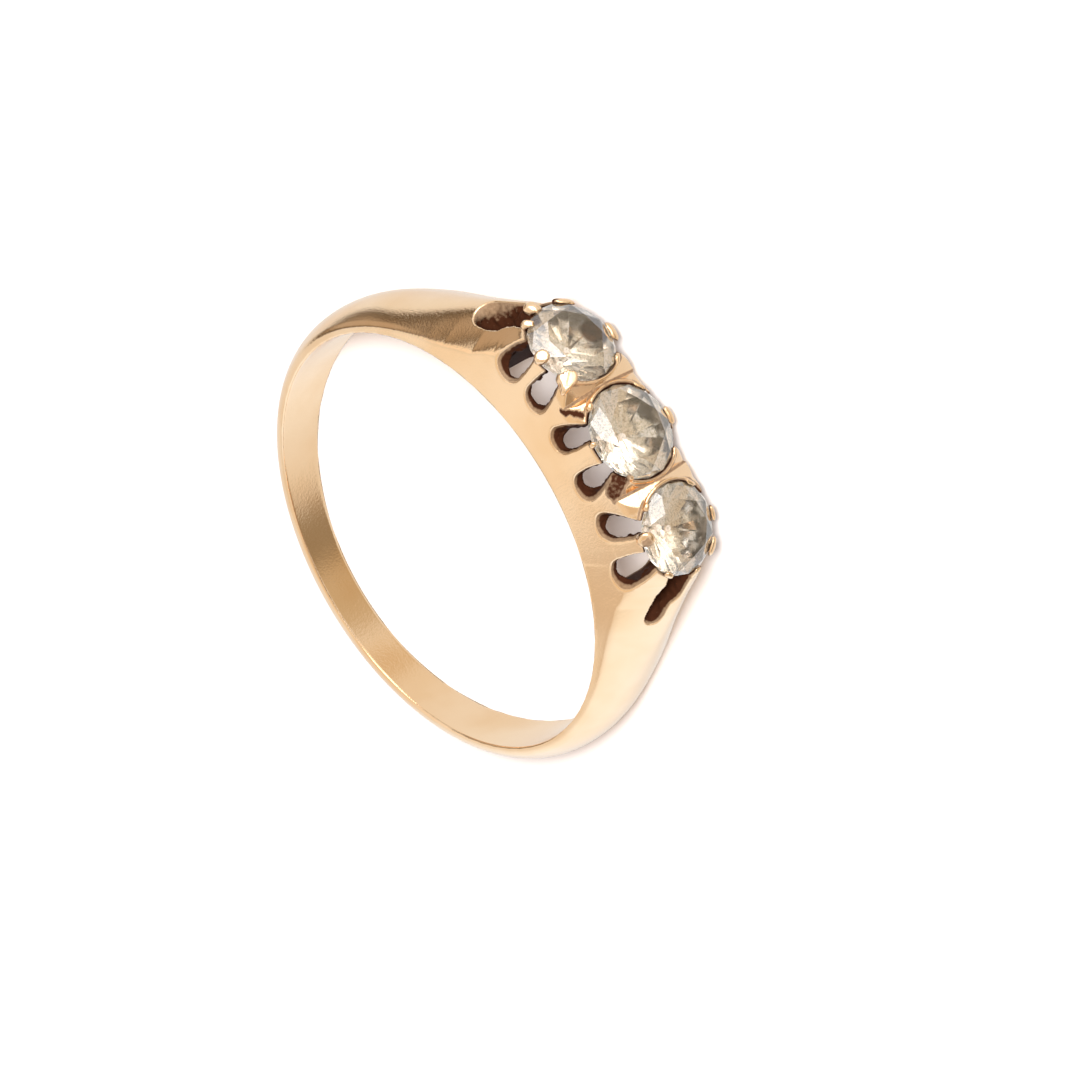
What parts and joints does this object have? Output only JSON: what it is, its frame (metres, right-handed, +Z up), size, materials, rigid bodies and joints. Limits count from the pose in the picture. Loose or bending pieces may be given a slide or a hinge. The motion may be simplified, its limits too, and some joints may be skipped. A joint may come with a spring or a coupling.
{
  "type": "gold ring",
  "caption": "Narrow polished gold ring with a boat-shaped carved head that claws hold a row of round cut stones in, its sides pierced with slots.",
  "frame": {"origin": "middle of the ring's length and width, on the surface that it lies on", "axes": "+Z up from that surface through the finger hole, -Y towards the set head, +X along the row of stones towards the upper end stone"},
  "size_m": [0.0188, 0.0214, 0.0044],
  "materials": {
    "gold": "polished yellow gold, softly worn, with fine scratches and dark grime in the slots and grooves",
    "stone": "clear cut stone with a finely abraded table"
  },
  "bodies": {
    "root": {"ring_band": "gold", "middle_stone": "stone", "upper_end_stone": "stone", "lower_end_stone": "stone"}
  },
  "joints": []
}
